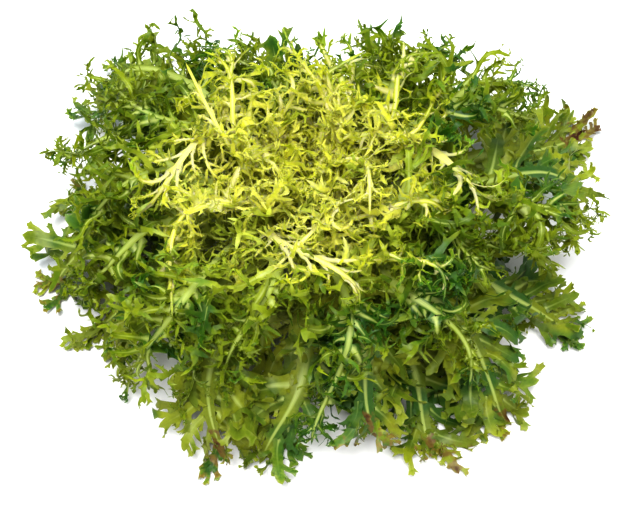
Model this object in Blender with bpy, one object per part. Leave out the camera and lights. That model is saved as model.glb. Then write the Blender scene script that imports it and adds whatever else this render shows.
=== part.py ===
"""A curly endive head, standing on its cut stem with its leaves opened out.

Blender 4.5, metres, +Z up. The origin is the centre of the stem's cut face, on the table.

The head is a short domed stem with 58 leaves set round it at the golden angle, oldest and
lowest first, and a small closed heart on the dome's top. Every leaf is a thin blade that lies
on one of a nested family of bowl-shaped surfaces, one surface to each leaf, so that blades
overlap in plan as real ones do and never touch. head_shape then stretches the whole family
into the head's own uneven outline.
"""

import math
import random

import bmesh
import bpy

# Stem: a turned butt, cut flat below, with a dome above that carries the leaves.
CUT_RADIUS = 0.0165
STEM_RADIUS = 0.0185
SHOULDER_HEIGHT = 0.008
DOME_HEIGHT = 0.025
STEM_SIDES = 36
DOME_STEPS = 9
CUT_EDGE_HEIGHT = 0.002
CUT_EDGE_SETBACK = 0.0004

# Leaves: their number, and how they are set on the dome.
LEAF_COUNT = 58
OUTER_COUNT = 16
MIDDLE_COUNT = 20
GOLDEN_ANGLE = math.radians(137.508)
FIRST_AZIMUTH = math.radians(28)
LAST_LATITUDE = math.radians(74)
LATITUDE_POWER = 0.95
FOOT_GAP = 0.001
AZIMUTH_SCATTER = math.radians(3)
SWEEP_SCATTER = math.radians(7)
LENGTH_SCATTER = 0.05
SEED = 11

# Each row: level from outermost 0 to innermost 1, the angle at which a leaf leaves the stem,
# the angle at its tip (degrees above level), its length, its widest half-width (metres), and
# its thickness as a share of a full-grown blade's.
STAGES = (
    (0.00, 15, -36, 0.174, 0.026, 1.00),
    (0.12, 27, -48, 0.186, 0.026, 1.00),
    (0.25, 41, -56, 0.192, 0.024, 1.00),
    (0.40, 56, -58, 0.192, 0.022, 1.00),
    (0.55, 67, -52, 0.176, 0.018, 0.95),
    (0.70, 76, -30, 0.146, 0.015, 0.85),
    (0.85, 82, 8, 0.112, 0.012, 0.72),
    (1.00, 87, 68, 0.084, 0.008, 0.55),
)
BEND_POWER = 1.35
STEPS_PER_RING = 8   # short straight steps that trace the bend between two rings of a blade

# The outer and most of the middle leaves by hand, from the lowest up: turn away from the
# golden angle in degrees, and length against the rest of its level.
PLACES_BY_HAND = (
    (-1, 1.18), (4, 0.94), (0, 1.02), (-6, 0.99), (-8, 0.98), (-13, 1.04), (-4, 1.30),
    (0, 0.96), (-1, 1.02), (2, 1.00), (-7, 1.05), (4, 0.78), (2, 1.04), (-7, 0.95),
    (-4, 1.02), (-4, 0.93), (-5, 0.97), (-1, 1.00), (-4, 0.90), (-3, 0.94), (-15, 1.00),
    (-2, 0.95), (-3, 1.03), (0, 0.97), (3, 0.72), (3, 1.20), (-9, 1.10), (0, 1.24),
    (4, 1.14), (-2, 0.96), (-1, 1.06), (-1, 0.85), (2, 0.72), (8, 1.12), (-7, 0.97),
)

# Reach of the head every 30 degrees round from +X, against a round head.
REACH = (0.94, 1.00, 0.83, 0.66, 0.83, 0.94, 0.84, 0.75, 0.73, 0.74, 0.79, 0.84)
# Height of the head at the same places.
LIFT = (1.00, 1.00, 0.95, 0.78, 0.95, 1.00, 1.00, 1.00, 1.00, 1.00, 1.00, 1.00)
WAVE_HEIGHT = 0.0035
WAVES_ROUND = 5
WAVE_LENGTH = 0.110
TALLEST = 0.115
# Leaves that would droop lower than this ease down on to the table instead.
TABLE_EASE = 0.010
# The lift, the wave and the ease come in over this distance from the stem.
FADE_LENGTH = 0.04

# A blade along its length: place, half-width as a share of its widest, and thickness at the
# midrib, which grows with the blade's curled and crowded lobes.
OUTLINE = (
    (0.00, 0.27, 0.0018),
    (0.12, 0.24, 0.0020),
    (0.35, 0.32, 0.0034),
    (0.55, 0.72, 0.0052),
    (0.75, 1.00, 0.0052),
    (0.90, 0.84, 0.0034),
    (1.00, 0.16, 0.0012),
)
LOBE_DEPTH = 0.30
LOBES_FROM = 0.4
RINGS = 17
FOOT_WIDTH_LIMIT = 0.34

# Heart: the innermost leaves, closed into one bud. Height and radius pairs up its side.
HEART_PROFILE = (
    (0.0341, 0.0), (0.0341, 0.0026), (0.050, 0.0042), (0.065, 0.0062), (0.080, 0.0082),
    (0.090, 0.0078), (0.098, 0.0045), (0.101, 0.0),
)
HEART_SIDES = 18

COLOURS = {
    "stem": (0.78, 0.74, 0.55, 1),
    "outer_leaf": (0.16, 0.26, 0.05, 1),
    "middle_leaf": (0.24, 0.35, 0.06, 1),
    "inner_leaf": (0.50, 0.56, 0.11, 1),
    "heart": (0.66, 0.68, 0.20, 1),
}
ROUGHNESS = {"stem": 0.55, "outer_leaf": 0.45, "middle_leaf": 0.45, "inner_leaf": 0.4, "heart": 0.4}


def clear_scene():
    for obj in list(bpy.data.objects):
        bpy.data.objects.remove(obj)


def make_material(name):
    material = bpy.data.materials.new(name)
    material.use_nodes = True
    shader = material.node_tree.nodes["Principled BSDF"]
    shader.inputs["Base Color"].default_value = COLOURS[name]
    shader.inputs["Roughness"].default_value = ROUGHNESS[name]
    return material


def between(rows, place, column):
    """The value of a table's column at a place along its first column, in straight lines."""
    for low, high in zip(rows, rows[1:]):
        if place <= high[0]:
            share = (place - low[0]) / (high[0] - low[0])
            return low[column] + share * (high[column] - low[column])
    return rows[-1][column]


def round_the_head(values, azimuth):
    """A value given at even steps round the head, read smoothly at any azimuth."""
    step = 2 * math.pi / len(values)
    place = (azimuth % (2 * math.pi)) / step
    first = int(place)
    ease = 0.5 - 0.5 * math.cos(math.pi * (place - first))
    low = values[first % len(values)]
    high = values[(first + 1) % len(values)]
    return low + ease * (high - low)


def head_shape(radius, azimuth, height):
    """Where a point of the ideal round head lies in the real, uneven one."""
    beyond_stem = max(radius - STEM_RADIUS, 0.0)
    radius = min(radius, STEM_RADIUS) + beyond_stem * round_the_head(REACH, azimuth)
    lift = round_the_head(LIFT, azimuth)
    fade = min(beyond_stem / FADE_LENGTH, 1.0)
    wave = math.sin(WAVES_ROUND * azimuth + 2 * math.pi * beyond_stem / WAVE_LENGTH)
    height *= 1 + fade * (lift - 1)
    height += fade * WAVE_HEIGHT * wave * min(height / TALLEST, 1.0)
    return (radius * math.cos(azimuth), radius * math.sin(azimuth), height)


def eased_down(height, beyond_stem):
    """The height of a blade's middle where a low leaf lies down along the table."""
    ease = TABLE_EASE * min(max(beyond_stem, 0.0) / FADE_LENGTH, 1.0)
    if height >= ease:
        return height
    return max(height + ease, 0.0) ** 2 / (4 * ease)


def dome_point(level):
    """Radius and height of the place on the stem's dome where a level's leaf is set."""
    latitude = LAST_LATITUDE * level**LATITUDE_POWER
    return (
        STEM_RADIUS * math.cos(latitude),
        SHOULDER_HEIGHT + DOME_HEIGHT * math.sin(latitude),
    )


def leaf_line(level, length_share):
    """The leaf's centre line in its own upright plane: (radius, height, angle) at each ring."""
    rise = math.radians(between(STAGES, level, 1))
    fall = math.radians(between(STAGES, level, 2))
    full_length = between(STAGES, level, 3)
    radius, height = dome_point(level)
    radius += FOOT_GAP * math.cos(rise)
    height += FOOT_GAP * math.sin(rise)
    line = []
    steps = (RINGS - 1) * STEPS_PER_RING
    step = full_length * length_share / steps
    for number in range(steps + 1):
        travelled = number * step / full_length
        angle = rise + (fall - rise) * min(travelled, 1.0) ** BEND_POWER
        if number % STEPS_PER_RING == 0:
            line.append((radius, height, angle))
        radius += step * math.cos(angle)
        height += step * math.sin(angle)
    return line


def add_leaf(name, level, azimuth, sweep, length_share, material):
    """One blade: rings of four corners (two margins, upper and lower midrib) joined up."""
    widest = between(STAGES, level, 4)
    bulk = between(STAGES, level, 5)
    line = leaf_line(level, length_share)
    bm = bmesh.new()
    rings = []
    for number, (radius, height, angle) in enumerate(line):
        along = number / (RINGS - 1)
        half_width = widest * between(OUTLINE, along, 1)
        if number % 2 == 0 and along > LOBES_FROM:
            half_width *= 1 - LOBE_DEPTH
        half_width = min(half_width, FOOT_WIDTH_LIMIT * radius)
        half_thickness = 0.5 * bulk * between(OUTLINE, along, 2)
        middle = azimuth + sweep * along**2
        spread = half_width / radius
        height = max(eased_down(height, radius - STEM_RADIUS), half_thickness)
        out = -half_thickness * math.sin(angle)
        up = half_thickness * math.cos(angle)
        corners = (
            (radius, middle - spread, height),
            (radius + out, middle, height + up),
            (radius, middle + spread, height),
            (radius - out, middle, height - up),
        )
        rings.append([bm.verts.new(head_shape(*corner)) for corner in corners])
    for near, far in zip(rings, rings[1:]):
        for side in range(4):
            following = (side + 1) % 4
            bm.faces.new((near[side], near[following], far[following], far[side]))
    bm.faces.new(reversed(rings[0]))
    bm.faces.new(rings[-1])
    bmesh.ops.recalc_face_normals(bm, faces=bm.faces)
    mesh = bpy.data.meshes.new(name)
    bm.to_mesh(mesh)
    bm.free()
    mesh.materials.append(material)
    leaf = bpy.data.objects.new(name, mesh)
    bpy.context.collection.objects.link(leaf)


def add_turned(name, profile, sides, material):
    """A solid of revolution about Z from (height, radius) pairs whose ends lie on the axis."""
    bm = bmesh.new()
    path = [bm.verts.new((radius, 0, height)) for height, radius in profile]
    edges = [bm.edges.new(pair) for pair in zip(path, path[1:])]
    bmesh.ops.spin(
        bm, geom=path + edges, cent=(0, 0, 0), axis=(0, 0, 1), angle=2 * math.pi, steps=sides
    )
    bmesh.ops.remove_doubles(bm, verts=bm.verts, dist=1e-6)
    bmesh.ops.recalc_face_normals(bm, faces=bm.faces)
    mesh = bpy.data.meshes.new(name)
    bm.to_mesh(mesh)
    bm.free()
    mesh.materials.append(material)
    mesh.shade_smooth()
    mesh.set_sharp_from_angle(angle=math.radians(40))
    solid = bpy.data.objects.new(name, mesh)
    bpy.context.collection.objects.link(solid)


def stem_profile():
    profile = [(0.0, 0.0), (0.0, CUT_RADIUS), (CUT_EDGE_HEIGHT, STEM_RADIUS - CUT_EDGE_SETBACK)]
    for number in range(DOME_STEPS + 1):
        latitude = math.radians(90) * number / DOME_STEPS
        height = SHOULDER_HEIGHT + DOME_HEIGHT * math.sin(latitude)
        radius = STEM_RADIUS * math.cos(latitude)
        profile.append((height, radius if number < DOME_STEPS else 0.0))
    return profile


def leaf_name(number):
    if number < OUTER_COUNT:
        return "outer_leaf", number + 1
    if number < OUTER_COUNT + MIDDLE_COUNT:
        return "middle_leaf", number - OUTER_COUNT + 1
    return "inner_leaf", number - OUTER_COUNT - MIDDLE_COUNT + 1


def add_leaves(materials):
    scatter = random.Random(SEED)
    for number in range(LEAF_COUNT):
        level = number / (LEAF_COUNT - 1)
        azimuth = FIRST_AZIMUTH + number * GOLDEN_ANGLE
        sweep = scatter.uniform(-SWEEP_SCATTER, SWEEP_SCATTER)
        turn = scatter.uniform(-AZIMUTH_SCATTER, AZIMUTH_SCATTER)
        length_share = 1 + scatter.uniform(-LENGTH_SCATTER, LENGTH_SCATTER)
        if number < len(PLACES_BY_HAND):
            turn = math.radians(PLACES_BY_HAND[number][0])
            length_share = PLACES_BY_HAND[number][1]
        kind, place = leaf_name(number)
        name = f"{kind}_{place:02d}"
        add_leaf(name, level, azimuth + turn, sweep, length_share, materials[kind])


clear_scene()
finishes = {name: make_material(name) for name in COLOURS}
add_turned("stem", stem_profile(), STEM_SIDES, finishes["stem"])
add_leaves(finishes)
add_turned("heart", HEART_PROFILE, HEART_SIDES, finishes["heart"])
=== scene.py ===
"""A curly endive head, standing on its cut stem with its leaves opened out.

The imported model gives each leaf's place as a plain blade; here each becomes a cut and curled leaf.
"""

import math
import random

import bpy
import numpy as np
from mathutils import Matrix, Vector


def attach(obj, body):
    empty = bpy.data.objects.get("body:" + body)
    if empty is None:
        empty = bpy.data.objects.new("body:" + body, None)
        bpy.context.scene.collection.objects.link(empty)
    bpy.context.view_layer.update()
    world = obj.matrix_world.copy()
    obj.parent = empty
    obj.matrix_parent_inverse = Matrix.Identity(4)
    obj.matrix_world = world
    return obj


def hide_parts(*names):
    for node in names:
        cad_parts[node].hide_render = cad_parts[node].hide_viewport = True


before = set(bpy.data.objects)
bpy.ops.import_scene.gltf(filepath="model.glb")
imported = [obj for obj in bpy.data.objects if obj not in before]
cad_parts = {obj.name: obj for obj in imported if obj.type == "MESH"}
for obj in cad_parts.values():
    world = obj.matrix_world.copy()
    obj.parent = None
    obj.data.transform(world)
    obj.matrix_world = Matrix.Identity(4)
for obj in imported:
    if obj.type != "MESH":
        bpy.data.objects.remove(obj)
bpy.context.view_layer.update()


# ------------------------------------------------------------
# The stem. A short solid butt of cream flesh that every leaf grows from. It is cut flat at
# harvest, and the milky sap that wells from the ring of vessels in the cut dries rusty brown.

STEM_RADIUS = 0.0185
CUT_RADIUS = 0.0165
SHOULDER_HEIGHT = 0.008
DOME_HEIGHT = 0.025
STEM_SIDES = 96
STEM_SHARP_ANGLE = 50
SIDE_FROM = 0.0006
SIDE_RINGS = 10
DOME_RINGS = 18
# how far up the dome's quarter turn its first and last rings lie, in radians
DOME_FROM = 0.06
DOME_TO = 1.5
CUT_BEVEL = 0.002
# rings of points over the cut, as shares of its radius; from the level share on they lie flat
CUT_RINGS = (0.06, 0.2, 0.36, 0.52, 0.66, 0.74, 0.82, 0.9, 0.97, 1.0)
LEVEL_FROM = 0.97
CUT_SWELL = 0.00025
SWELL_WAVES = 9
# grain on the cut and leaf scars on the side are each two sets of waves that cross: how many
# go round, and the radians they wind over the cut's radius or over a metre of the side
CUT_GRAIN = 0.0001
GRAIN_WAVES = ((17, 40), (5, -25))
SCAR_DEPTH = 0.0006
SCAR_WAVES = ((8, -900), (5, 700))
# where the ring of vessels begins, is full, starts to fade and ends, out from the cut's middle
VESSEL_RING = (0.0115, 0.0130, 0.0150, 0.0168)
RING_WANDER = 0.004
# the heights between which the colour of the cut gives way to that of the side
CUT_FADES = (0.0006, 0.0018)
# fibres across the stem and along it, for each metre
FIBRES = (900, 900, 90)


def add_node(tree, kind, inputs=(), **settings):
    """A shader node; inputs are pairs of a socket and its value or the output that feeds it."""
    made = tree.nodes.new("ShaderNode" + kind)
    for name, value in settings.items():
        setattr(made, name, value)
    for socket, value in inputs:
        if isinstance(value, bpy.types.NodeSocket):
            tree.links.new(value, made.inputs[socket])
        else:
            made.inputs[socket].default_value = value
    return made


def noise(tree, place, scale, detail):
    """The output of a noise texture, with its scale as features for each unit of the place."""
    return add_node(tree, "TexNoise", ((0, place), (2, scale), (3, detail))).outputs[0]


def mixed(tree, share, first, second, blend="MIX"):
    """The output of a colour mix."""
    inputs = ((0, share), (6, first), (7, second))
    return add_node(tree, "Mix", inputs, data_type="RGBA", blend_type=blend).outputs[2]


def ranged(tree, value, low, high, to_low=0.0, to_high=1.0):
    """The output of a clamped, eased map from one range of values to another."""
    inputs = ((0, value), (1, low), (2, high), (3, to_low), (4, to_high))
    return add_node(tree, "MapRange", inputs, interpolation_type="SMOOTHSTEP").outputs[0]


def figured(tree, operation, first, second=0.0):
    """The output of a simple operation on two values."""
    return add_node(tree, "Math", ((0, first), (1, second)), operation=operation).outputs[0]


def new_material(name, **settings):
    """A material with a Principled shader whose even values are set on its own sockets."""
    material = bpy.data.materials.new(name)
    material.use_nodes = True
    shader = material.node_tree.nodes["Principled BSDF"]
    for socket, value in settings.items():
        shader.inputs[socket.replace("_", " ")].default_value = value
    return material, material.node_tree, shader


def mesh_object(name, points, faces, material, sharp_from):
    """A smooth object from points and arrays of faces, sharp at edges over an angle in degrees."""
    mesh = bpy.data.meshes.new(name)
    corners = np.concatenate([part.ravel() for part in faces])
    sizes = np.concatenate([np.full(len(part), part.shape[1]) for part in faces])
    mesh.vertices.add(len(points))
    mesh.vertices.foreach_set("co", np.asarray(points, np.float32).ravel())
    mesh.loops.add(len(corners))
    mesh.loops.foreach_set("vertex_index", corners.astype(np.int32))
    mesh.polygons.add(len(sizes))
    mesh.polygons.foreach_set("loop_start", (np.cumsum(sizes) - sizes).astype(np.int32))
    mesh.update(calc_edges=True)
    mesh.materials.append(material)
    mesh.shade_smooth()
    mesh.set_sharp_from_angle(angle=math.radians(sharp_from))
    made = bpy.data.objects.new(name, mesh)
    bpy.context.scene.collection.objects.link(made)
    return made


def stem_radius_at(height):
    """The butt's radius at a height: a bevelled foot, an upright side and a dome."""
    if height < CUT_BEVEL:
        return CUT_RADIUS + (STEM_RADIUS - CUT_RADIUS) * math.sin(0.5 * math.pi * height / CUT_BEVEL)
    if height < SHOULDER_HEIGHT:
        return STEM_RADIUS
    rise = min((height - SHOULDER_HEIGHT) / DOME_HEIGHT, 1.0)
    return STEM_RADIUS * math.sqrt(1 - rise * rise)


def crossed_waves(waves, turns, place):
    """Two sets of waves round the stem, one across the other, that wind as the place goes on."""
    (first, first_wind), (second, second_wind) = waves
    return np.sin(first * turns + first_wind * place) * np.sin(second * turns + second_wind * place)


def stem_ring(radius, turns, height):
    """Points round the stem; the radius and the height are one value or one for each point."""
    level = np.broadcast_to(height, turns.shape)
    return np.stack((radius * np.cos(turns), radius * np.sin(turns), level), -1)


def stem_points():
    """Rows of points from the cut's centre out, up the side and in over the dome."""
    turns = np.linspace(0, 2 * math.pi, STEM_SIDES, endpoint=False)
    rows = []
    for share in CUT_RINGS:
        uneven = share < LEVEL_FROM
        swell = CUT_SWELL * math.sin(share * SWELL_WAVES) ** 2 * uneven
        grain = CUT_GRAIN * crossed_waves(GRAIN_WAVES, turns, share)
        rows.append(stem_ring(CUT_RADIUS * share, turns, swell + np.maximum(grain, 0) * uneven))
    side_heights = np.linspace(SIDE_FROM, SHOULDER_HEIGHT, SIDE_RINGS)
    dome_turns = np.linspace(DOME_FROM, DOME_TO, DOME_RINGS)
    dome_heights = SHOULDER_HEIGHT + DOME_HEIGHT * np.sin(dome_turns)
    for height in np.concatenate((side_heights, dome_heights)):
        scars = crossed_waves(SCAR_WAVES, turns, height)
        depth = SCAR_DEPTH * (0.5 + 0.5 * scars) * min(height / CUT_BEVEL, 1)
        rows.append(stem_ring(stem_radius_at(height) - depth, turns, height))
    return np.array(rows)


def stem_mesh():
    """The butt's points and faces, closed at the cut's centre and at the dome's top."""
    rows = stem_points()
    count = len(rows) * STEM_SIDES
    numbers = np.arange(count).reshape(len(rows), STEM_SIDES)
    following = np.roll(numbers, -1, axis=1)
    sides = np.stack((numbers[:-1], following[:-1], following[1:], numbers[1:]), -1).reshape(-1, 4)
    foot = np.stack((np.full(STEM_SIDES, count), following[0], numbers[0]), -1)
    top = np.stack((np.full(STEM_SIDES, count + 1), numbers[-1], following[-1]), -1)
    ends = ((0, 0, 0), (0, 0, SHOULDER_HEIGHT + DOME_HEIGHT - SCAR_DEPTH))
    return np.concatenate((rows.reshape(-1, 3), ends)), (sides, np.concatenate((foot, top)))


def stem_material():
    """Cream flesh with fibres up the sides, and on the cut a rusty ring round pale pith."""
    material, tree, shader = new_material(
        "stem_flesh", Roughness=0.5, Subsurface_Weight=0.15, Subsurface_Scale=0.003
    )
    place = add_node(tree, "TexCoord").outputs["Object"]
    parts = add_node(tree, "SeparateXYZ", ((0, place),)).outputs
    flat = add_node(tree, "CombineXYZ", ((0, parts[0]), (1, parts[1])))
    radius = add_node(tree, "VectorMath", ((0, flat.outputs[0]),), operation="LENGTH").outputs[1]
    patches = noise(tree, place, 260.0, 4.0)
    wander = figured(tree, "MULTIPLY", patches, RING_WANDER)
    ring_place = figured(tree, "ADD", radius, wander)
    inner = ranged(tree, ring_place, *VESSEL_RING[:2])
    outer = ranged(tree, ring_place, *VESSEL_RING[2:], 1.0, 0.0)
    cut = ranged(tree, parts[2], *CUT_FADES, 1.0, 0.0)
    ring = figured(tree, "MULTIPLY", figured(tree, "MULTIPLY", inner, outer), cut)
    stretched = add_node(tree, "VectorMath", ((0, place), (1, FIBRES)), operation="MULTIPLY")
    fibres = noise(tree, stretched.outputs[0], 1.0, 5.0)
    flesh = mixed(tree, fibres, (0.62, 0.60, 0.36, 1), (0.88, 0.86, 0.68, 1))
    pith = mixed(tree, figured(tree, "MULTIPLY", cut, 0.6), flesh, (0.80, 0.74, 0.52, 1))
    rust = mixed(tree, patches, (0.30, 0.12, 0.03, 1), (0.58, 0.32, 0.12, 1))
    coloured = mixed(tree, figured(tree, "MULTIPLY", ring, 0.85), pith, rust)
    tree.links.new(coloured, shader.inputs["Base Color"])
    bump = add_node(tree, "Bump", (("Strength", 0.35), ("Distance", 0.0006), ("Height", fibres)))
    tree.links.new(bump.outputs[0], shader.inputs["Normal"])
    return material


stem = mesh_object("stem_butt", *stem_mesh(), stem_material(), STEM_SHARP_ANGLE)
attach(stem, "root")
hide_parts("stem")


# ------------------------------------------------------------
# The outer leaves. The oldest and lowest, spread over the table: a flat pale stalk that runs
# on as the midrib of a broad green blade, cut into toothed lobes like antlers. They grow in a
# spiral at the golden angle, and here each follows its plain blade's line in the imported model.

GOLDEN_ANGLE = math.radians(137.508)
LEAF_COUNT = 58
OUTER_COUNT = 16
MIDDLE_COUNT = 20
FIRST_AZIMUTH = math.radians(28)
LAST_LATITUDE = math.radians(74)
LATITUDE_POWER = 0.95
SWEEP_SCATTER = math.radians(7)
AZIMUTH_SCATTER = math.radians(3)
LENGTH_SCATTER = 0.05
SCATTER_SEED = 11
# level, angle at the stem, angle at the tip (degrees above level), length
STAGES = (
    (0.00, 15, -36, 0.174),
    (0.12, 27, -48, 0.186),
    (0.25, 41, -56, 0.192),
    (0.40, 56, -58, 0.192),
    (0.55, 67, -52, 0.176),
    (0.70, 76, -30, 0.146),
    (0.85, 82, 8, 0.112),
    (1.00, 87, 68, 0.084),
)
# above 1, a leaf bends most near its tip
BEND_POWER = 1.35
# the outer and most of the middle leaves, from the lowest up: turn away from the golden
# angle in degrees, and length against the rest of its level
PLACES_BY_HAND = (
    (-1, 1.18), (4, 0.94), (0, 1.02), (-6, 0.99), (-8, 0.98), (-13, 1.04), (-4, 1.30),
    (0, 0.96), (-1, 1.02), (2, 1.00), (-7, 1.05), (4, 0.78), (2, 1.04), (-7, 0.95),
    (-4, 1.02), (-4, 0.93), (-5, 0.97), (-1, 1.00), (-4, 0.90), (-3, 0.94), (-15, 1.00),
    (-2, 0.95), (-3, 1.03), (0, 0.97), (3, 0.72), (3, 1.20), (-9, 1.10), (0, 1.24),
    (4, 1.14), (-2, 0.96), (-1, 1.06), (-1, 0.85), (2, 0.72), (8, 1.12), (-7, 0.97),
)
# the head's reach and height every 30 degrees round from +X, against a round head's
REACH = (0.94, 1.00, 0.83, 0.66, 0.83, 0.94, 0.84, 0.75, 0.73, 0.74, 0.79, 0.84)
LIFT = (1, 1, 0.95, 0.78, 0.95) + 7 * (1,)
WAVE_HEIGHT = 0.0035
WAVES_ROUND = 5
WAVE_LENGTH = 0.110
TALLEST = 0.115
# over this much past the stem, the lift, the waves and the easing on to the table come in
FADE_LENGTH = 0.04
TABLE_EASE = 0.010
FOOT_DEPTH = 0.004
# the lowest a spine lies, the height under which a lobe is pressed flat, and a skin's least gap
LEAST_SPINE_HEIGHT = 0.0014
PRESS_HEIGHT = 0.004
TABLE_GAP = 0.0001
# how finely a spine is followed between its rows
STEPS_PER_ROW = 4


def between(rows, place, column=1):
    """A table's value at a place along its first column, in straight lines."""
    table = np.array(rows, float)
    return np.interp(place, table[:, 0], table[:, column])


def round_the_head(values, azimuth):
    """A value given at even steps round the head, read smoothly at any azimuth."""
    step = 2 * math.pi / len(values)
    place = (azimuth % (2 * math.pi)) / step
    first = int(place)
    ease = 0.5 - 0.5 * math.cos(math.pi * (place - first))
    low = values[first % len(values)]
    high = values[(first + 1) % len(values)]
    return low + ease * (high - low)


def head_shape(radius, azimuth, height):
    """Where a point of the ideal round head lies in the real, uneven one."""
    beyond_stem = max(radius - STEM_RADIUS, 0.0)
    radius = min(radius, STEM_RADIUS) + beyond_stem * round_the_head(REACH, azimuth)
    fade = min(beyond_stem / FADE_LENGTH, 1.0)
    wave = math.sin(WAVES_ROUND * azimuth + 2 * math.pi * beyond_stem / WAVE_LENGTH)
    height *= 1 + fade * (round_the_head(LIFT, azimuth) - 1)
    height += fade * WAVE_HEIGHT * wave * min(height / TALLEST, 1.0)
    return (radius * math.cos(azimuth), radius * math.sin(azimuth), height)


def eased_down(height, beyond_stem):
    """The height of a low leaf's middle where it lies down along the table."""
    ease = TABLE_EASE * min(max(beyond_stem, 0.0) / FADE_LENGTH, 1.0)
    if height >= ease:
        return height
    return max(height + ease, 0.0) ** 2 / (4 * ease)


def unit(vectors):
    """Vectors scaled to length one."""
    return vectors / np.maximum(np.linalg.norm(vectors, axis=-1, keepdims=True), 1e-9)


def spun(first, second, angle):
    """Two axes at right angles, turned by an angle in the plane that they span."""
    cosine = np.cos(angle)[..., None]
    sine = np.sin(angle)[..., None]
    return first * cosine + second * sine, second * cosine - first * sine


def leaf_spine(level, azimuth, sweep, length_share, rows, roll, sway, bob):
    """A leaf's spine from inside the stem to its tip: points, and ahead, left and up at each."""
    rise, fall = (math.radians(between(STAGES, level, column)) for column in (1, 2))
    full_length = between(STAGES, level, 3)
    latitude = LAST_LATITUDE * level**LATITUDE_POWER
    radius = STEM_RADIUS * math.cos(latitude) - FOOT_DEPTH * math.cos(rise)
    height = SHOULDER_HEIGHT + DOME_HEIGHT * math.sin(latitude) - FOOT_DEPTH * math.sin(rise)
    steps = (rows - 1) * STEPS_PER_ROW
    step = (full_length * length_share + FOOT_DEPTH) / steps
    points, lefts = [], []
    for number in range(steps + 1):
        along = number / steps
        angle = rise + (fall - rise) * min(along * length_share, 1.0) ** BEND_POWER
        if number % STEPS_PER_ROW == 0:
            middle = azimuth + sweep * along**2
            level_height = eased_down(height, radius - STEM_RADIUS)
            points.append(head_shape(radius, middle, level_height))
            lefts.append((-math.sin(middle), math.cos(middle), 0))
        radius += step * math.cos(angle)
        height += step * math.sin(angle)
    left = np.array(lefts)
    points = np.array(points) + left * sway[:, None] + np.array((0, 0, 1)) * bob[:, None]
    points[:, 2] = np.maximum(points[:, 2], LEAST_SPINE_HEIGHT)
    ahead = unit(np.gradient(points, axis=0))
    left = unit(left - ahead * np.sum(left * ahead, -1, keepdims=True))
    up = np.cross(ahead, left)
    left, up = spun(left, up, roll)
    return points, ahead, left, up


# what marks each point: how near the rib (1 at its middle, a half at its edge), how green, how
# withered, a lobe's own tone at random, pulled dark on some leaves for painted shade, and metres along the
# strip and across it
MARKS = ("rib", "green", "wither", "tone_and_shade", "along", "across")


class Skin:
    """One leaf's closed skin while it grows: points, what marks each, and faces."""

    def __init__(self):
        self.points, self.marks, self.fours, self.threes = [], [], [], []
        self.count = 0

    def add(self, places, marks):
        """Adds points and gives back their numbers in the same arrangement."""
        shape = places.shape[:-1]
        marks = np.stack([np.broadcast_to(mark, shape) for mark in marks], -1)
        self.points.append(places.reshape(-1, 3))
        self.marks.append(marks.reshape(-1, len(MARKS)))
        numbers = self.count + np.arange(int(np.prod(shape))).reshape(shape)
        self.count += numbers.size
        return numbers


def add_sheet(skin, sheet, tip, flip):
    """Faces over rows of points and in to the tip, turned over for the underside."""
    fours = np.stack((sheet[:, :-1, :-1], sheet[:, :-1, 1:], sheet[:, 1:, 1:], sheet[:, 1:, :-1]), -1)
    ends = np.broadcast_to(tip[:, None], sheet[:, -1, 1:].shape)
    threes = np.stack((sheet[:, -1, :-1], sheet[:, -1, 1:], ends), -1)
    skin.fours.append(fours.reshape(-1, 4)[:, ::flip])
    skin.threes.append(threes.reshape(-1, 3)[:, ::flip])


def close_foot(skin, upper, lower):
    """The end faces of a stalk, inside the stem; its two margins have one point each."""
    last = upper.shape[1] - 2
    for column in range(last + 1):
        near, far = lower[:, column], lower[:, column + 1]
        near_top, far_top = upper[:, column], upper[:, column + 1]
        if column == 0:
            skin.threes.append(np.stack((near, far, far_top), -1))
        elif column == last:
            skin.threes.append(np.stack((near, far, near_top), -1))
        else:
            skin.fours.append(np.stack((near, far, far_top, near_top), -1))


# a rib narrower than this, half across, shows the less the narrower it is
FADING_RIB = 0.0006
# the thickness of a margin where a lobe starts, against the strip's own
WELD_SHARE = 0.35
# a strip's columns of points, from the left margin (1) to the right one (-1)
STALK_COLUMNS = (1, 0.5, 0, -0.5, -1)
LOBE_COLUMNS = (1, 0, -1)


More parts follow.
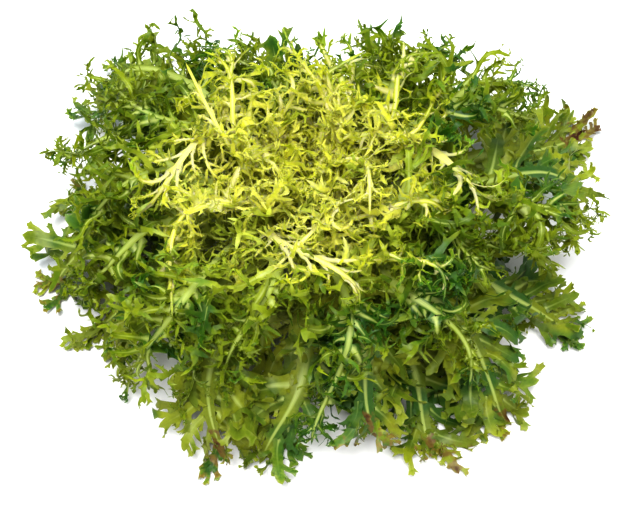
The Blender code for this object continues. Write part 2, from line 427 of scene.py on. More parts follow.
def add_strip(skin, line, base, half_width, thickness, cup, shares, keel, looks, slots, step):
    """One strip of blade, from its welded base to its pointed tip.

    line is (points, ahead, left, up), each (strips, rows, 3). A broad strip is lens-shaped in
    section; a lobe has three columns, with a ridge above and one flat face beneath.
    slots are the rows, on the left and on the right, at which lobes start: there the margin is
    two points thick, so that the skins join.
    """
    points, ahead, left, up = line
    rows = points.shape[1]
    lobe = base is not None
    shares = np.array(shares, float)
    rib_half, green, wither, tone_and_shade, along = looks
    # the section: its edges are raised by the cup, and it is thickest at the middle
    sideways = half_width[..., None] * shares
    raised = cup * np.abs(sideways) * np.abs(shares)
    body = thickness[..., None] * (1 - shares**2)
    margin = np.zeros((rows, len(shares)), bool)
    for column, starts in zip((0, -1), slots):
        margin[np.array(starts, int) + 1, column] = True
    body = body + WELD_SHARE * thickness[..., None] * margin
    spread = points[:, :, None] + left[:, :, None] * sideways[..., None]
    top = spread + up[:, :, None] * (raised + 0.5 * body)[..., None]
    under = spread + up[:, :, None] * (raised - (0.5 + keel) * body)[..., None]
    # the rib's mark is 1 at its middle and -1 well beyond its edge, or where there is none
    rib_half = rib_half[..., None] * np.ones_like(sideways)
    from_middle = np.abs(sideways) / np.maximum(rib_half, 1e-5)
    rib = np.where(rib_half > 0, np.clip(1 - 0.5 * from_middle, -1, 1), -1)
    rib = np.minimum(rib, rib_half / FADING_RIB)
    marks = [rib, green[..., None], wither[..., None], tone_and_shade[:, None, None], along[..., None], sideways]
    marks = [np.broadcast_to(mark, rib.shape) for mark in marks]
    # the underside has points of its own where the strip is thick, and shares the rest
    start = int(lobe)
    own = margin.copy()
    own[:, 1:-1] = not lobe
    own[:start] = False
    upper = np.empty(rib.shape, int)
    upper[:, start:] = skin.add(top[:, start:], [mark[:, start:] for mark in marks])
    lower = upper.copy()
    lower[:, own] = skin.add(under[:, own], [mark[:, own] for mark in marks])
    if lobe:
        upper[:, 0], lower[:, 0] = base
    no_rib = np.full(len(points), -1.0)
    tip_place = points[:, -1] + ahead[:, -1] * step[:, None]
    tip = skin.add(tip_place, [no_rib, *(mark[:, -1, 1] for mark in marks[1:])])
    add_sheet(skin, upper, tip, 1)
    if lobe and rows > 1:
        # the three points of the base narrow to the flat underside's two
        one, middle, other = lower[:, 0].T
        near, far = lower[:, 1, 0], lower[:, 1, 2]
        for corners in ((far, other, middle), (near, far, middle), (one, near, middle)):
            skin.threes.append(np.stack(corners, -1))
        add_sheet(skin, lower[:, 1:, (0, 2)], tip, -1)
    else:
        add_sheet(skin, lower, tip, -1)
    if not lobe:
        close_foot(skin, upper[:, 0], lower[:, 0])
    return {"upper": upper, "lower": lower, "line": line, "margins": spread[:, :, (0, -1)],
            "green": green, "wither": wither, "slots": slots}


def slots_of(parent):
    """Every place on a strip's margins where a lobe springs: what it is welded to and its axes."""
    points, ahead, left, up = parent["line"]
    rows = points.shape[1]
    found = []
    for side, column, starts in zip((1, -1), (0, -1), parent["slots"]):
        lows = np.array(starts, int)
        order = lows[:, None] + np.array((0, 1, 2))[::side]
        middle = lows + 1
        bases = (parent[sheet][:, order, column] for sheet in ("upper", "lower"))
        axes = (part[:, middle] for part in (parent["margins"][:, :, column], ahead, left, up))
        found.append((
            *(part.reshape(-1, 3) for part in (*bases, *axes)),
            np.full(len(points) * len(lows), side),
            np.tile(middle / (rows - 1), len(points)),
            np.repeat(np.arange(len(points)), len(lows)),
            *(parent[mark][:, middle].ravel() for mark in ("green", "wither")),
        ))
    return [np.concatenate(parts) for parts in zip(*found)]


def laid_down(place, ahead, left, up):
    """A growing point and its axes, where it nears the table, turned to run along it."""
    pressed = np.clip(1 - place[:, 2:] / PRESS_HEIGHT, 0, 1)
    low = place[:, 2] < PRESS_HEIGHT
    place = place.copy()
    place[low, 2] = PRESS_HEIGHT * np.exp((place[low, 2] - PRESS_HEIGHT) / PRESS_HEIGHT)
    place[:, 2] = np.maximum(place[:, 2], LEAST_SPINE_HEIGHT * 0.5)
    flat = 1 - pressed * (0, 0, 1)
    ahead = np.where(ahead[:, 2:] < 0, unit(ahead * flat), ahead)
    left = left * flat
    left = unit(left - ahead * np.sum(left * ahead, -1, keepdims=True))
    return place, ahead, left, np.cross(ahead, left)


def grow(start, axes, length, paces, bend, curl, twist):
    """Lines that leave their starts and turn a little at each row: sideways, up and round."""
    ahead, left, up = axes
    line = [(start, ahead, left, up)]
    place = start
    for row, pace in enumerate(paces[:-1], 1):
        ahead, left = spun(ahead, left, bend[:, row])
        ahead, up = spun(ahead, up, curl[:, row])
        left, up = spun(left, up, twist[:, row])
        place = place + ahead * pace * length[:, None]
        place, ahead, left, up = laid_down(place, ahead, left, up)
        line.append((place, ahead, left, up))
    return [np.stack(parts, 1) for parts in zip(*line)]


def alternate(first, rows, period):
    """The rows at which lobes start along a strip, turn about on its left and its right."""
    return range(first, rows - 2, period), range(first + period // 2, rows - 2, period)


# a stunted lobe's length against a whole one's; how narrow a short lobe may get and how broad
# a long one, against its habit's widths; and how lobes differ in breadth and in tone
STUNTED_SHARE = 0.3
NARROWEST = 0.45
BROADEST = 1.15
BREADTH_RANGE = (0.8, 1.2)
TONE_SCATTER = 0.5


def add_lobes(skin, parent, chance, habit, full_length, shade=0.0):
    """Lobes along both margins of every strip of the parent, shaped by a habit's values."""
    upper, lower, start, ahead, left, up, side, place, owner, green, wither = slots_of(parent)
    count = len(place)
    uneven = chance.uniform(habit["shortest"], 1.0, count)
    uneven *= np.where(chance.random(count) < habit["stunted"], STUNTED_SHARE, 1.0)
    length = full_length[owner] * between(habit["lengths"], place) * uneven
    angle = np.radians(between(habit["angles"], place) + chance.normal(0, habit["angle_scatter"], count))
    ahead, left = spun(ahead, left, side * angle)
    lift = np.radians(chance.normal(habit["lift"], habit["lift_scatter"], count))
    ahead, up = spun(ahead, up, lift)
    left, up = spun(left, up, np.radians(chance.normal(0, habit["roll_scatter"], count)))
    paces = np.array(habit["paces"], float) / sum(habit["paces"])
    row = np.cumsum(paces) - paces
    gather = (1 - habit["late"] + 2 * habit["late"] * row) * np.roll(paces, 1)
    bend = -side * np.radians(chance.normal(habit["bend"], habit["bend_scatter"], count))
    curl = np.radians(chance.normal(habit["curl"], habit["curl_scatter"], count))
    twist = np.radians(chance.normal(0, habit["twist_scatter"], count))
    phase = chance.uniform(0, 2 * math.pi, count)
    ripple = np.radians(habit["ripple"]) * np.sin(phase[:, None] + habit["ripples"] * 2 * math.pi * row)
    bend, curl, twist = (total[:, None] * gather for total in (bend, curl, twist))
    line = grow(start, (ahead, left, up), length, paces, bend, curl + ripple, twist)
    scale = np.clip(length / habit["full_size"], NARROWEST, BROADEST)[:, None]
    breadth = between(habit["breadth"], place) * chance.uniform(*BREADTH_RANGE, count)
    half_width = between(habit["widths"], row)[None] * scale * breadth[:, None]
    along = length[:, None] * row
    # a lobe's tone is random, and the leaf's painted shade pulls it dark
    tone_and_shade = np.clip(chance.normal(-shade, TONE_SCATTER, count), -1, 1)
    greener = np.clip(green[:, None] + habit["greening"] * row, 0, 1)
    drier = wither[:, None] * (1 - habit["fresh_base"] * (1 - row))
    rib_half = habit["rib"] * (1 - row) * half_width
    thickness = habit["thickness"] * np.ones_like(half_width) * scale**0.5
    looks = (rib_half, greener, drier, tone_and_shade, along)
    strip = add_strip(
        skin, line, (upper, lower), half_width, thickness, habit["cup"], LOBE_COLUMNS, 0, looks,
        habit["slots"], length * paces[-1]
    )
    return strip, length


# A habit is how lobes of one kind grow. In metres: widths (half across, along the lobe),
# full_size (the length at which they hold) and thickness. In degrees, each with a scatter:
# angle from the strip that the lobe springs from, lift above it, roll about its own line, and
# over its whole length bend (forward), curl (up) and twist, with ripples besides; late puts
# these turns near the tip. As shares: lengths and breadth by the place on that strip, shortest
# and stunted for how lobes differ, rib and cup of the half width, paces of the rows, greening
# towards the tip and fresh_base where it stays unwithered. Its own lobes start at the slots.
STRAIGHT = dict.fromkeys(
    ("lift", "lift_scatter", "roll_scatter", "bend", "bend_scatter", "curl", "curl_scatter",
     "twist_scatter", "ripple", "ripples", "stunted", "rib", "cup", "greening", "fresh_base"), 0
) | {"late": 0.6, "slots": ((), ()), "breadth": ((0, 1), (1, 1))}
OUTER_TEETH = dict(
    STRAIGHT, paces=(1,), shortest=0.4, lengths=((0, 0.44), (1, 0.36)), full_size=0.004,
    angles=((0, 55), (1, 35)), angle_scatter=14, lift_scatter=20, widths=((0, 0.001), (1, 0.001)),
    thickness=0.0003,
)
OUTER_LOBES = dict(
    STRAIGHT, paces=(0.9, 1.0, 0.55, 0.55, 0.6, 0.45), slots=((2,), (3,)), shortest=0.4,
    lengths=((0, 0.20), (0.4, 0.36), (0.75, 0.46), (1, 0.36)), full_size=0.014,
    angles=((0, 60), (1, 30)), angle_scatter=15, lift=4, lift_scatter=24, roll_scatter=28,
    bend=8, bend_scatter=34, curl=-5, curl_scatter=50, twist_scatter=45, stunted=0.12,
    widths=((0, 0.0036), (0.25, 0.0023), (0.6, 0.0025), (0.8, 0.0022), (1, 0.0014)),
    thickness=0.0005, greening=0.1, fresh_base=0.5,
)
OUTER_PINNAE = dict(
    STRAIGHT, paces=(0.7,) + 13 * (1,), slots=alternate(2, 14, 3), shortest=0.6, late=0.8,
    lengths=((0, 0.0), (0.25, 0.7), (0.36, 0.9), (0.6, 1.0), (0.78, 0.85), (1, 0.4)), full_size=0.036,
    breadth=((0.2, 1.25), (0.6, 1.15), (1, 1.0)),
    angles=((0.2, 66), (0.7, 50), (1, 26)), angle_scatter=13, lift=8, lift_scatter=24, roll_scatter=28,
    bend=12, bend_scatter=34, curl=-8, curl_scatter=50, twist_scatter=60, ripple=8, ripples=1.5,
    stunted=0.14,
    widths=((0, 0.005), (0.15, 0.0034), (0.5, 0.004), (0.8, 0.0036), (1, 0.0018)), rib=0.14,
    thickness=0.0007, greening=0.3, fresh_base=0.9,
)
# A whole leaf's habit. By the place along it: stalk and rib (metres, half across), the stalk's
# thickness and how green it is. Waves turn it by roll (degrees), and move it aside by sway and
# up by bob (metres).
OUTER_HABIT = {
    "rows": 61, "slots": alternate(17, 61, 3),
    "stalk": (
        (0, 0.0058), (0.15, 0.0052), (0.33, 0.0046), (0.55, 0.005), (0.8, 0.0044), (0.95, 0.003),
        (1, 0.002),
    ),
    "stalk_thickness": ((0, 0.0034), (0.3, 0.0026), (0.6, 0.0014), (1, 0.0006)),
    "rib": ((0, 0.006), (0.25, 0.0042), (0.5, 0.0024), (0.8, 0.0008), (1, 0.0004)),
    "green": ((0, 0.1), (0.2, 0.35), (0.4, 0.6), (0.8, 0.8), (1, 0.9)),
    "roll": 34, "sway": 0.008, "bob": 0.0, "longest_lobe": 0.046, "cup": 0.28,
    "levels": (OUTER_PINNAE, OUTER_LOBES, OUTER_TEETH),
}
ROLL_WAVES = 1.3
# how far a stalk's underside bulges, against its thickness, and how long its point is
STALK_KEEL = 0.4
STALK_TIP = 0.004
# the share of a leaf's length, at its end, that may be dry
DRY_END = 0.12
SHARP_ANGLE = 70
FIRST_LEAF_SEED = 100


def leaf_places():
    """Level, azimuth, sweep and length share of each leaf, oldest first, as the model has them."""
    scatter = random.Random(SCATTER_SEED)
    for number in range(LEAF_COUNT):
        sweep = scatter.uniform(-SWEEP_SCATTER, SWEEP_SCATTER)
        turn = scatter.uniform(-AZIMUTH_SCATTER, AZIMUTH_SCATTER)
        length_share = 1 + scatter.uniform(-LENGTH_SCATTER, LENGTH_SCATTER)
        if number < len(PLACES_BY_HAND):
            turn = math.radians(PLACES_BY_HAND[number][0])
            length_share = PLACES_BY_HAND[number][1]
        azimuth = FIRST_AZIMUTH + number * GOLDEN_ANGLE + turn
        yield number / (LEAF_COUNT - 1), azimuth, sweep, length_share


# the middle of the head, where blades grow in each other's shade: its place, how far it reaches
# to the sides and to the front, the shares of that reach over which the light comes in, how much
# of its green a shaded blade keeps, and how much green full light adds
HEART_CENTRE = (-0.010, -0.017)
HEART_SPREAD = (0.096, 0.086)
LIGHT_FROM = 0.55
LIGHT_OVER = 0.75
SHADED_GREEN = 0.3
LIT_GREEN = 0.42


def mark_points(leaf, points, marks):
    """Stores what marks each point. Blades shaded by the head's own middle stay blanched."""
    marks = marks.copy()
    away = np.linalg.norm((points[:, :2] - HEART_CENTRE) / HEART_SPREAD, axis=-1)
    light = np.clip((away - LIGHT_FROM) / LIGHT_OVER, 0, 1)
    light = light * light * (3 - 2 * light)
    green = marks[:, MARKS.index("green")]
    green[:] = np.clip(green * (SHADED_GREEN + (1 - SHADED_GREEN) * light) + LIT_GREEN * light, 0, 1)
    for mark, values in zip(MARKS, marks.T):
        stored = leaf.data.attributes.new(mark, "FLOAT", "POINT")
        stored.data.foreach_set("value", values.astype(np.float32))


def skin_object(name, skin, material):
    """The object made of a finished skin, which keeps off the table."""
    points = np.concatenate(skin.points)
    points[:, 2] = np.maximum(points[:, 2], TABLE_GAP)
    faces = (np.concatenate(skin.fours), np.concatenate(skin.threes))
    made = mesh_object(name, points, faces, material, SHARP_ANGLE)
    mark_points(made, points, np.concatenate(skin.marks))
    return made


LEAF_PLACES = list(leaf_places())
# leaves painted bluer and darker than the rest as painted shade, for where they lie in the head's shade, by
# their number from the lowest up
SHADE_PAINTED_LEAVES = {
    **dict.fromkeys((17, 19, 20, 22, 23, 33, 35), 0.3), **dict.fromkeys((27, 28, 34), 0.4), 31: 0.6, 36: 0.9
}


def grow_leaf(node, number, habit, material, wither=0.0):
    """One whole leaf in place of a model leaf, along that leaf's own spine."""
    level, azimuth, sweep, length_share = LEAF_PLACES[number]
    chance = np.random.default_rng(FIRST_LEAF_SEED + number)
    along = np.linspace(0, 1, habit["rows"])
    phases = chance.uniform(0, 2 * math.pi, 3)[:, None]
    waves = np.sin(phases + 2 * math.pi * ROLL_WAVES * along) - np.sin(phases)
    heights = np.array((math.radians(habit["roll"]), habit["sway"], habit["bob"]))
    roll, sway, bob = waves * along**1.5 * heights[:, None]
    line = leaf_spine(level, azimuth, sweep, length_share, habit["rows"], roll, sway, bob)
    line = [part[None] for part in line]
    half_width, thickness, rib_half, green = (
        between(habit[part], along)[None] for part in ("stalk", "stalk_thickness", "rib", "green")
    )
    dry = wither * np.clip((along - (1 - DRY_END)) / DRY_END, 0, 1)[None]
    metres = (along * between(STAGES, level, 3) * length_share)[None]
    looks = (rib_half, green, dry, np.zeros(1), metres)
    skin = Skin()
    parent = add_strip(
        skin, line, None, half_width, thickness, habit["cup"], STALK_COLUMNS, STALK_KEEL, looks,
        habit["slots"], np.array((STALK_TIP,))
    )
    length = np.array((habit["longest_lobe"],))
    for lobes in habit["levels"]:
        # a leaf's painted shade pulls the tone of all its lobes dark
        parent, length = add_lobes(skin, parent, chance, lobes, length, SHADE_PAINTED_LEAVES.get(number, 0.0))
    leaf = skin_object(node + "_cut", skin, material)
    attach(leaf, "root")
    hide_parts(node)


def new_group(name, colours, values, outputs):
    """A node group with named inputs, and outputs of named kinds; gives it and both its ends."""
    group = bpy.data.node_groups.new(name, "ShaderNodeTree")
    for socket in colours:
        group.interface.new_socket(socket, in_out="INPUT", socket_type="NodeSocketColor")
    for socket in values:
        group.interface.new_socket(socket, in_out="INPUT", socket_type="NodeSocketFloat")
    for socket, kind in outputs:
        group.interface.new_socket(socket, in_out="OUTPUT", socket_type="NodeSocket" + kind)
    given = group.nodes.new("NodeGroupInput").outputs
    return group, given, group.nodes.new("NodeGroupOutput").inputs


def blade_colour_group():
    """Leaf tissue from blanched to green, mottled, with patches of painted shade and a pale ribbed midrib
    where one runs.
    """
    group, given, out = new_group(
        "blade_colour", ("Cream", "Yellow", "Green", "Rib Colour"),
        ("Greenness", "Rib", "Tone and Shade", "Along", "Across"), (("Color", "Color"), ("Height", "Float")),
    )
    place = add_node(group, "TexCoord").outputs["Object"]
    clouds = noise(group, place, 55.0, 3.0)
    specks = noise(group, place, 700.0, 3.0)
    patches = noise(group, place, 24.0, 2.0)
    # cream, yellow or green, by how green the blade is, unevenly where it isn't blanched
    uneven = ranged(group, clouds, 0.25, 0.75, -0.24, 0.24)
    uneven = figured(group, "MULTIPLY", uneven, ranged(group, given["Greenness"], 0.1, 0.6, 0.35, 1.0))
    greenness = figured(group, "ADD", given["Greenness"], uneven)
    pale = mixed(group, ranged(group, greenness, 0.0, 0.35), given["Cream"], given["Yellow"])
    tissue = mixed(group, ranged(group, greenness, 0.2, 0.85), pale, given["Green"])
    # each lobe's tone, random and on some leaves pulled dark for painted shade, from dark to warm and
    # light; then specks, and bluish darker patches of painted shade
    tone_and_shade = ranged(group, given["Tone and Shade"], -1.0, 1.0)
    warmed = ranged(group, tone_and_shade, 0.5, 1.0, 0.0, 0.35)
    tissue = mixed(group, warmed, tissue, (0.85, 0.78, 0.25, 1), "SOFT_LIGHT")
    # the dark end of the tone is partly random tone, and partly painted shade on the leaves that carry it
    toned = ranged(group, tone_and_shade, 0.0, 0.5, 0.65, 0.0)
    darkened = figured(group, "MULTIPLY", toned, ranged(group, greenness, 0.1, 0.6, 0.15, 1.0))
    tissue = mixed(group, darkened, tissue, (0.22, 0.42, 0.36, 1), "MULTIPLY")
    specked = ranged(group, specks, 0.35, 0.7, 0.0, 0.18)
    tissue = mixed(group, specked, tissue, (0.2, 0.3, 0.1, 1), "MULTIPLY")
    # painted shade: bluish darker patches at random over the green tissue, standing in for the deep shade
    # between leaves
    painted_shade_patches = ranged(group, patches, 0.49, 0.60)
    painted_shade_patches = figured(group, "MULTIPLY", painted_shade_patches, ranged(group, greenness, 0.3, 0.7))
    tissue = mixed(group, painted_shade_patches, tissue, (0.27, 0.53, 0.95, 1), "MULTIPLY")
    # fine lines that run along the strip, most of all in its pale rib
    across = figured(group, "MULTIPLY", given["Across"], 1600.0)
    along = figured(group, "MULTIPLY", given["Along"], 60.0)
    line_place = add_node(group, "CombineXYZ", ((0, across), (1, along)))
    lines = noise(group, line_place.outputs[0], 1.0, 2.0)
    rib_edge = figured(group, "ADD", given["Rib"], ranged(group, lines, 0.2, 0.8, -0.18, 0.18))
    rib = ranged(group, rib_edge, 0.05, 0.85)
    veined = mixed(group, ranged(group, lines, 0.35, 0.65, 0.0, 0.25), given["Rib Colour"], tissue)
    group.links.new(mixed(group, rib, tissue, veined), out["Color"])
    grooves = figured(group, "MULTIPLY", lines, 0.6)
    height = figured(group, "ADD", grooves, figured(group, "MULTIPLY", specks, 0.4))
    group.links.new(height, out["Height"])
    return group


def withering_group():
    """Dry tissue: in blotches, first tan and then dark brown and papery."""
    group, given, out = new_group(
        "withering", ("Color",), ("Withered",), (("Color", "Color"), ("Roughness", "Float"))
    )
    place = add_node(group, "TexCoord").outputs["Object"]
    blotches = noise(group, place, 190.0, 3.0)
    share = figured(group, "ADD", given["Withered"], ranged(group, blotches, 0.2, 0.8, -0.3, 0.3))
    share = figured(group, "MULTIPLY", share, ranged(group, given["Withered"], 0.0, 0.1))
    tan = mixed(group, ranged(group, share, 0.05, 0.25), given["Color"], (0.17, 0.115, 0.03, 1))
    brown = mixed(group, ranged(group, share, 0.22, 0.5), tan, (0.075, 0.030, 0.016, 1))
    group.links.new(brown, out["Color"])
    group.links.new(ranged(group, share, 0.3, 0.9, 0.42, 0.8), out["Roughness"])
    return group


BLADE_COLOUR = blade_colour_group()
WITHERING = withering_group()
TISSUE_MARKS = {"Greenness": "green", "Rib": "rib", "Tone and Shade": "tone_and_shade", "Along": "along", "Across": "across"}


def leaf_material(name, cream, yellow, green, rib_colour, glow=0.3):
    """A leaf's tissue: a little waxy, and with its glow the share of light that passes into it."""
    material, tree, shader = new_material(
        name, Subsurface_Weight=glow, Subsurface_Scale=0.0025, Subsurface_Radius=(0.8, 1.0, 0.25),
        Specular_IOR_Level=0.22,
    )
    marks = {mark: add_node(tree, "Attribute", attribute_name=mark).outputs["Fac"] for mark in MARKS}
    tissue = add_node(tree, "Group", node_tree=BLADE_COLOUR)
    colours = {"Cream": cream, "Yellow": yellow, "Green": green, "Rib Colour": rib_colour}
    for socket, colour in colours.items():
        tissue.inputs[socket].default_value = (*colour, 1)
    for socket, mark in TISSUE_MARKS.items():
        tree.links.new(marks[mark], tissue.inputs[socket])
    dry = add_node(tree, "Group", node_tree=WITHERING)
    tree.links.new(tissue.outputs["Color"], dry.inputs["Color"])
    tree.links.new(marks["wither"], dry.inputs["Withered"])
    tree.links.new(dry.outputs["Color"], shader.inputs["Base Color"])
    tree.links.new(dry.outputs["Roughness"], shader.inputs["Roughness"])
    height = tissue.outputs["Height"]
    bump = add_node(tree, "Bump", (("Strength", 0.35), ("Distance", 0.0003), ("Height", height)))
    tree.links.new(bump.outputs[0], shader.inputs["Normal"])
    return material


# how dry the ends of some of the leaves are, by their number from the lowest up, and of the rest
OUTER_WITHER = {0: 0.9, 1: 0.35, 2: 0.5, 9: 0.3, 10: 0.2, 12: 0.32, 15: 0.42}
LEAST_WITHER = 0.05
outer_tissue = leaf_material(
    "outer_leaf_tissue", (0.64, 0.66, 0.28), (0.41, 0.45, 0.07), (0.202, 0.238, 0.026), (0.40, 0.47, 0.14)
)
for number in range(OUTER_COUNT):
    node = f"outer_leaf_{number + 1:02d}"
    grow_leaf(node, number, OUTER_HABIT, outer_tissue, OUTER_WITHER.get(number, LEAST_WITHER))


# ------------------------------------------------------------
# The middle leaves. They arch over the outer ones and make most of what shows: a narrow pale
# midrib with fine side ribs, cut almost to nothing but long curled threads of mid green blade.

MIDDLE_TIPS = dict(
    STRAIGHT, paces=(1,), shortest=0.4, lengths=((0, 0.34), (1, 0.28)), full_size=0.004,
    angles=((0, 50), (1, 38)), angle_scatter=14, lift_scatter=30, widths=((0, 0.0008), (1, 0.0008)),
    thickness=0.0003,
)
MIDDLE_LOBES = dict(
    STRAIGHT, paces=(0.4, 1.0, 0.4, 0.4, 1.1, 1.1), slots=((2,), ()), shortest=0.4,
    lengths=((0, 0.30), (0.5, 0.48), (1, 0.38)), full_size=0.014,
    angles=((0, 62), (1, 38)), angle_scatter=18, lift=8, lift_scatter=40, roll_scatter=50,
    bend=20, bend_scatter=90, curl=20, curl_scatter=130, twist_scatter=80, stunted=0.1,
    breadth=((0, 1), (1, 1.5)),
    widths=((0, 0.0016), (0.25, 0.0009), (0.6, 0.0008), (0.8, 0.0007), (1, 0.0005)),
    thickness=0.0005, greening=0.1,
)
MIDDLE_PINNAE = dict(
    STRAIGHT, paces=(0.5,) + 21 * (1,), slots=alternate(1, 22, 4), shortest=0.55, late=0.85,
    lengths=((0, 0.0), (0.22, 0.4), (0.32, 0.8), (0.6, 1.0), (0.8, 0.75), (1, 0.3)), full_size=0.040,
    angles=((0.2, 74), (0.7, 60), (1, 36)), angle_scatter=16, lift=4, lift_scatter=28, roll_scatter=40,
    bend=12, bend_scatter=90, curl=-10, curl_scatter=120, twist_scatter=130, ripple=14, ripples=1.5,
    stunted=0.1, breadth=((0.3, 0.9), (0.6, 1.3), (1, 1.9)),
    widths=((0, 0.0028), (0.1, 0.0014), (0.5, 0.0012), (0.8, 0.001), (1, 0.0007)), rib=0.4,
    thickness=0.0007, greening=0.3,
)
MIDDLE_HABIT = {
    "rows": 85, "slots": alternate(22, 85, 3),
    "stalk": ((0, 0.0046), (0.15, 0.0038), (0.33, 0.0028), (0.6, 0.0022), (0.9, 0.0014), (1, 0.0008)),
    "stalk_thickness": ((0, 0.003), (0.3, 0.0022), (0.6, 0.0013), (1, 0.0005)),
    "rib": ((0, 0.006), (0.3, 0.0036), (0.6, 0.0014), (1, 0.0004)),
    "green": ((0, 0.0), (0.3, 0.25), (0.5, 0.5), (0.8, 0.7), (1, 0.8)),
    "roll": 70, "sway": 0.014, "bob": 0.006, "longest_lobe": 0.050, "cup": 0.35,
    "levels": (MIDDLE_PINNAE, MIDDLE_LOBES, MIDDLE_TIPS),
}
middle_tissue = leaf_material(
    "middle_leaf_tissue", (0.50, 0.54, 0.115), (0.38, 0.44, 0.04), (0.172, 0.222, 0.014),
    (0.42, 0.49, 0.14)
)
for number in range(OUTER_COUNT, OUTER_COUNT + MIDDLE_COUNT):
    grow_leaf(f"middle_leaf_{number - OUTER_COUNT + 1:02d}", number, MIDDLE_HABIT, middle_tissue)


# ------------------------------------------------------------
# The inner leaves. Kept from the light by the others, they stay yellow to cream: a broad white
# rib that forks into thin side ribs, and short threads of blade curled tight on one another.

INNER_TIPS = dict(MIDDLE_TIPS, lengths=((0, 0.42), (1, 0.36)), widths=((0, 0.0005), (1, 0.0005)))
INNER_LOBES = dict(
    MIDDLE_LOBES, full_size=0.011, bend=35, bend_scatter=80, curl=30, curl_scatter=110,
    widths=((0, 0.0014), (0.25, 0.0008), (0.6, 0.0007), (0.8, 0.0006), (1, 0.0004)),
)
INNER_PINNAE = dict(
    MIDDLE_PINNAE, paces=(0.5,) + 19 * (1,), slots=alternate(1, 20, 4), full_size=0.030, lift=10,
    bend=-15, bend_scatter=80, curl=-8, curl_scatter=100, twist_scatter=80, breadth=((0, 1), (1, 1.3)),
    widths=((0, 0.003), (0.1, 0.0015), (0.5, 0.0011), (0.8, 0.0009), (1, 0.0006)), rib=0.8,
)
INNER_HABIT = dict(
    MIDDLE_HABIT, rows=55, slots=alternate(14, 55, 3),
    stalk=((0, 0.004), (0.2, 0.0036), (0.45, 0.0026), (0.7, 0.0017), (1, 0.0007)),
    rib=((0, 0.006), (0.35, 0.0034), (0.55, 0.001), (1, 0.0002)),
    green=((0, 0.0), (0.3, 0.16), (0.7, 0.28), (1, 0.36)),
    sway=0.026, bob=0.010, longest_lobe=0.041, levels=(INNER_PINNAE, INNER_LOBES, INNER_TIPS),
)
# a few inner leaves lie open, so that their broad cream ribs show, fanning out and hooked back
FANNED_PINNAE = dict(
    INNER_PINNAE, slots=alternate(5, 20, 3), rib=1.2, shortest=0.5, angles=((0.2, 34), (1, 22)),
    angle_scatter=9, lift_scatter=12, roll_scatter=16, bend=-85, bend_scatter=40, curl=-60,
    curl_scatter=60, twist_scatter=40, ripple=0, stunted=0,
    widths=((0, 0.002), (0.1, 0.0009), (0.5, 0.0008), (0.8, 0.0007), (1, 0.0005)),
)
FANNED_HABIT = dict(
    INNER_HABIT, sway=0.032, longest_lobe=0.044,
    stalk=((0, 0.0044), (0.2, 0.0042), (0.45, 0.0036), (0.7, 0.0022), (1, 0.0007)),
    rib=((0, 0.006), (0.4, 0.005), (0.65, 0.0026), (0.85, 0.0008), (1, 0.0004)),
    green=((0, 0.0), (0.5, 0.06), (0.8, 0.2), (1, 0.3)),
    levels=(FANNED_PINNAE, INNER_LOBES, INNER_TIPS),
)
FANNED_LEAVES = (39, 41, 43, 49, 52)
inner_tissue = leaf_material(
    "inner_leaf_tissue", (0.64, 0.64, 0.11), (0.55, 0.58, 0.036), (0.21, 0.29, 0.015),
    (0.68, 0.66, 0.27), 0.75
)
for number in range(OUTER_COUNT + MIDDLE_COUNT, LEAF_COUNT):
    node = f"inner_leaf_{number - OUTER_COUNT - MIDDLE_COUNT + 1:02d}"
    habit = FANNED_HABIT if number in FANNED_LEAVES else INNER_HABIT
    grow_leaf(node, number, habit, inner_tissue)


# ------------------------------------------------------------
# The heart. The youngest leaves, a finger long and less, which crowd upright on the dome's top.
# They are nearly white at the foot and yellow above, and never see the light. Here a few of them
# stand for all, in one piece.

HEART_LEAVES = 22
HEART_ROWS = 24
HEART_SEED = 7
# each is for the youngest leaf, and how much more it is for the outermost: how far out the foot
# stands, the lean in degrees and the length
HEART_FOOT = (0.0012, 0.0035)
HEART_LEAN = (4, 12)
HEART_LENGTH = (0.045, 0.028)
HEART_LENGTH_RANGE = (0.85, 1.1)
HEART_FOOT_DEPTH = 0.002
# degrees over a whole leaf: the least and most curl outward, and the scatters of turn and
# twist; the curl share is what the youngest leaf has of it, to which its reach adds
HEART_CURL = (10, 60)
HEART_CURL_SHARE = 0.3
HEART_TURN = 14
HEART_TWIST = 30
# a heart leaf's breadth and thickness against those of an inner leaf
HEART_BREADTH = 0.6
HEART_THICKNESS = 0.5
HEART_PINNAE = dict(
    INNER_PINNAE, paces=(0.5,) + 11 * (1,), slots=alternate(1, 12, 4), full_size=0.018
)
HEART_HABIT = dict(
    INNER_HABIT, rows=HEART_ROWS, slots=alternate(7, HEART_ROWS, 3), green=((0, 0.0), (1, 0.12)),
    longest_lobe=0.024, levels=(HEART_PINNAE, INNER_LOBES),
)


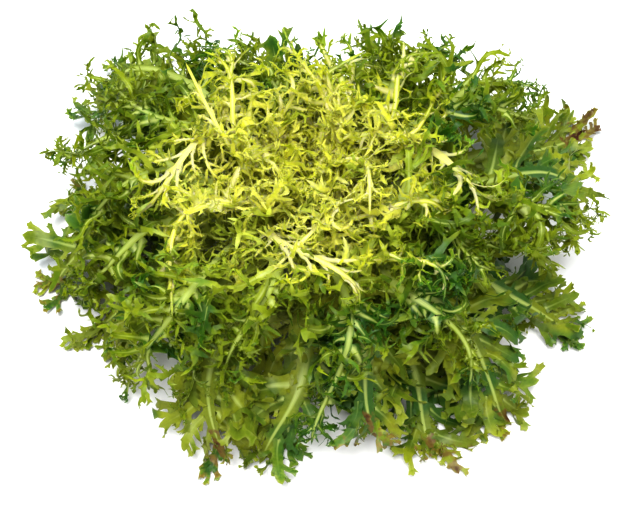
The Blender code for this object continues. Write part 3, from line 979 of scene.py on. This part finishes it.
def heart_lines(chance):
    """The youngest leaves' spines: a spiral of short lines that lean and curl outward."""
    number = np.arange(HEART_LEAVES)
    azimuth = number * GOLDEN_ANGLE
    reach = 1 - number / HEART_LEAVES
    foot_radius = HEART_FOOT[0] + HEART_FOOT[1] * reach
    lean = np.radians(HEART_LEAN[0] + HEART_LEAN[1] * reach)
    upright = np.array((0, 0, 1))
    outward = np.stack((np.cos(azimuth), np.sin(azimuth), 0 * azimuth), -1)
    start = outward * foot_radius[:, None] + (0, 0, SHOULDER_HEIGHT + DOME_HEIGHT - HEART_FOOT_DEPTH)
    ahead = outward * np.sin(lean)[:, None] + upright * np.cos(lean)[:, None]
    up = upright * np.sin(lean)[:, None] - outward * np.cos(lean)[:, None]
    left = np.cross(up, ahead)
    extra = HEART_LENGTH[1] * reach * chance.uniform(*HEART_LENGTH_RANGE, HEART_LEAVES)
    length = HEART_LENGTH[0] + extra
    # each row's share of a turn: most of it comes near the tip
    spread = np.linspace(0, 1, HEART_ROWS)[None] ** 2 * 3 / HEART_ROWS
    curl = chance.uniform(*HEART_CURL, HEART_LEAVES) * (HEART_CURL_SHARE + reach)
    turn = chance.normal(0, HEART_TURN, HEART_LEAVES)
    twist = chance.normal(0, HEART_TWIST, HEART_LEAVES)
    turn, curl, twist = (np.radians(total)[:, None] * spread for total in (turn, -curl, twist))
    paces = np.full(HEART_ROWS, 1 / HEART_ROWS)
    return grow(start, (ahead, left, up), length, paces, turn, curl, twist), length


def grow_heart(material):
    """All the youngest leaves, as one piece."""
    chance = np.random.default_rng(HEART_SEED)
    line, length = heart_lines(chance)
    along = np.linspace(0, 1, HEART_ROWS)
    half_width, thickness, rib_half, green = (
        between(HEART_HABIT[part], along) * np.ones((HEART_LEAVES, HEART_ROWS))
        for part in ("stalk", "stalk_thickness", "rib", "green")
    )
    looks = (rib_half, green, np.zeros_like(green), np.zeros(HEART_LEAVES), along * length[:, None])
    skin = Skin()
    parent = add_strip(
        skin, line, None, HEART_BREADTH * half_width, HEART_THICKNESS * thickness, HEART_HABIT["cup"],
        STALK_COLUMNS, STALK_KEEL, looks, HEART_HABIT["slots"], length / HEART_ROWS
    )
    lobe_length = np.full(HEART_LEAVES, HEART_HABIT["longest_lobe"])
    for lobes in HEART_HABIT["levels"]:
        parent, lobe_length = add_lobes(skin, parent, chance, lobes, lobe_length)
    heart = skin_object("heart_leaves", skin, material)
    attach(heart, "root")
    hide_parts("heart")


grow_heart(leaf_material(
    "heart_tissue", (0.77, 0.77, 0.14), (0.71, 0.73, 0.05), (0.30, 0.36, 0.02), (0.74, 0.72, 0.28), 0.75
))


# ------------------------------------------------------------
# The table, the light and the camera, which aren't part of the head. A plain white table stands
# in soft light from a window above, with a cool light behind and a weak warm one at the side.

TABLE_HALF = 3
mesh = bpy.data.meshes.new("table_top")
corners = [(x * TABLE_HALF, y * TABLE_HALF, 0) for x, y in ((-1, -1), (1, -1), (1, 1), (-1, 1))]
mesh.from_pydata(corners, [], [(0, 1, 2, 3)])
table_material = new_material("table_white", Base_Color=(0.9, 0.89, 0.885, 1), Roughness=0.7)[0]
mesh.materials.append(table_material)
table = bpy.data.objects.new("table_top", mesh)
bpy.context.scene.collection.objects.link(table)

world = bpy.data.worlds.new("soft_room")
world.use_nodes = True
room = world.node_tree.nodes["Background"].inputs
room["Color"].default_value = (0.95, 0.97, 1.0, 1)
room["Strength"].default_value = 0.33
bpy.context.scene.world = world


def add_area_light(name, place, target, size, watts, colour):
    """A round soft light at a place, turned to face a target."""
    light = bpy.data.lights.new(name, "AREA")
    light.shape = "DISK"
    light.size = size
    light.energy = watts
    light.color = colour
    lamp = bpy.data.objects.new(name, light)
    lamp.location = place
    lamp.rotation_euler = (Vector(target) - Vector(place)).to_track_quat("-Z", "Y").to_euler()
    bpy.context.scene.collection.objects.link(lamp)


add_area_light("window", (-0.12, -0.3, 1.48), (0, 0, 0.03), 0.8, 23.5, (0.96, 0.97, 0.97))
add_area_light("sky_behind", (-0.1, 1.1, 1.2), (0, 0.06, 0.03), 1.0, 7, (0.72, 0.92, 1.0))
add_area_light("room_fill", (0.9, -0.8, 1.2), (0, 0, 0.03), 1.6, 6, (1.0, 0.97, 0.92))

CAMERA_ELEVATION = math.radians(58)
CAMERA_DISTANCE = 0.53
CAMERA_TARGET = Vector((0.0075, -0.023, 0.028))
CAMERA_LENS = 50
camera = bpy.data.objects.new("camera", bpy.data.cameras.new("camera"))
camera.data.lens = CAMERA_LENS
camera.data.clip_start = 0.01
back = Vector((0, -math.cos(CAMERA_ELEVATION), math.sin(CAMERA_ELEVATION)))
camera.location = CAMERA_TARGET + back * CAMERA_DISTANCE
camera.rotation_euler = (-back).to_track_quat("-Z", "Y").to_euler()
bpy.context.scene.collection.objects.link(camera)
bpy.context.scene.camera = camera
bpy.context.scene.view_settings.view_transform = "Standard"
bpy.context.scene.view_settings.look = "High Contrast"
